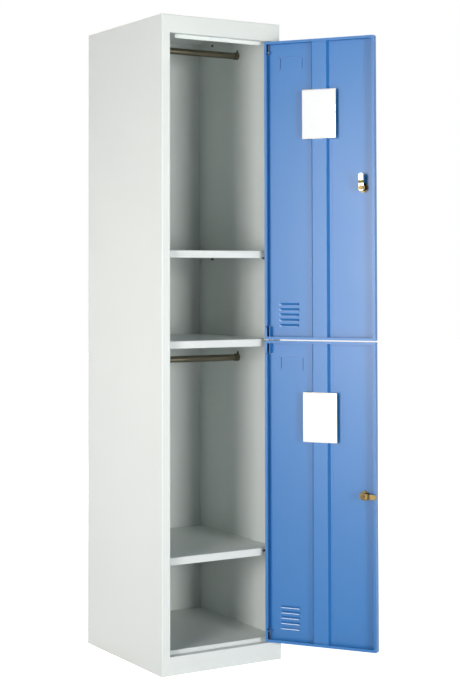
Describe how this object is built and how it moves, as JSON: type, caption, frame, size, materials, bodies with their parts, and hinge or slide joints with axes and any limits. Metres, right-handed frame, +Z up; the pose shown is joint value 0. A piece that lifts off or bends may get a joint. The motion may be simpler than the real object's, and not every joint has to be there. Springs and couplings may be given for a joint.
{
  "type": "school locker",
  "caption": "Tall free-standing sheet-steel locker with stacked compartments, doors hinged on the right with louvres, mirror and cam lock, shelves and hanging rails.",
  "frame": {"origin": "on the floor, in the middle of the four floor fixing holes, which is the middle of the carcass footprint", "axes": "+X to the right, +Y to the back, +Z up, for a person facing the doors"},
  "size_m": [0.5293, 0.7204, 1.78],
  "materials": {
    "grey_powder_coat": "satin light grey powder coat",
    "blue_powder_coat": "semi-gloss mid blue powder coat",
    "rail_steel": "drawn and plated steel tube",
    "dark_plastic": "moulded, matte",
    "zinc_steel": "bright zinc plate",
    "yellow_zinc": "yellow passivated plate",
    "brass": "turned brass",
    "chrome": "polished chrome plate",
    "mirror": "silvered glass, clear",
    "cream_plastic": "moulded, satin",
    "foam_pad": "closed-cell adhesive foam",
    "dark_steel": "oiled black-oxide steel"
  },
  "bodies": {
    "carcass": {"back_panel": "grey_powder_coat", "divider_shelf": "grey_powder_coat", "floor_panel": "grey_powder_coat", "left_side_panel": "grey_powder_coat", "lower_hanging_rail": "rail_steel", "lower_rail_brackets": "rail_steel", "lower_rail_wedges": "dark_plastic", "lower_shelf": "grey_powder_coat", "lower_shelf_clips": "dark_plastic", "middle_hinge_bracket": "grey_powder_coat", "middle_hinge_stud": "dark_steel", "plinth_rail": "grey_powder_coat", "rear_base_rail": "grey_powder_coat", "right_side_panel": "grey_powder_coat", "top_panel": "grey_powder_coat", "top_rivets": "dark_plastic", "upper_hanging_rail": "rail_steel", "upper_rail_brackets": "rail_steel", "upper_rail_wedges": "dark_plastic", "upper_shelf": "grey_powder_coat", "upper_shelf_clips": "dark_plastic"},
    "upper_door": {"upper_door_hinge_pin": "dark_steel", "upper_door_hinge_plate": "blue_powder_coat", "upper_door_pan": "blue_powder_coat", "upper_door_pin_guide": "blue_powder_coat", "upper_door_pin_spring": "dark_steel", "upper_door_stiffener": "blue_powder_coat", "upper_lock_barrel": "chrome", "upper_lock_nut": "brass", "upper_mirror_backing": "cream_plastic", "upper_mirror_glass": "mirror", "upper_mirror_pads": "foam_pad"},
    "lower_door": {"lower_door_hinge_pin": "dark_steel", "lower_door_hinge_plate": "blue_powder_coat", "lower_door_pan": "blue_powder_coat", "lower_door_pin_guide": "blue_powder_coat", "lower_door_stiffener": "blue_powder_coat", "lower_lock_barrel": "chrome", "lower_lock_nut": "brass", "lower_mirror_backing": "cream_plastic", "lower_mirror_glass": "mirror", "lower_mirror_pads": "foam_pad"},
    "upper_lock": {"upper_lock_cam": "zinc_steel", "upper_lock_cam_nut": "brass", "upper_lock_plug": "brass"},
    "lower_lock": {"lower_lock_cam": "yellow_zinc", "lower_lock_cam_nut": "brass", "lower_lock_plug": "brass"}
  },
  "joints": [
    {"name": "upper_door_hinge", "type": "hinge", "parent": "carcass", "child": "upper_door", "pos_m": [0.155, -0.221, 1.30975], "axis": [0, 0, 1], "range_deg": [-125, 4]},
    {"name": "lower_door_hinge", "type": "hinge", "parent": "carcass", "child": "lower_door", "pos_m": [0.155, -0.221, 0.47125], "axis": [0, 0, 1], "range_deg": [-125, 4]},
    {"name": "upper_lock_turn", "type": "hinge", "parent": "upper_door", "child": "upper_lock", "pos_m": [0.31859, -0.44766, 1.30975], "axis": [0.8192, 0.5736, 0], "range_deg": [0, 90]},
    {"name": "lower_lock_turn", "type": "hinge", "parent": "lower_door", "child": "lower_lock", "pos_m": [0.31859, -0.44766, 0.47125], "axis": [0.8192, 0.5736, 0], "range_deg": [-90, 0]}
  ]
}
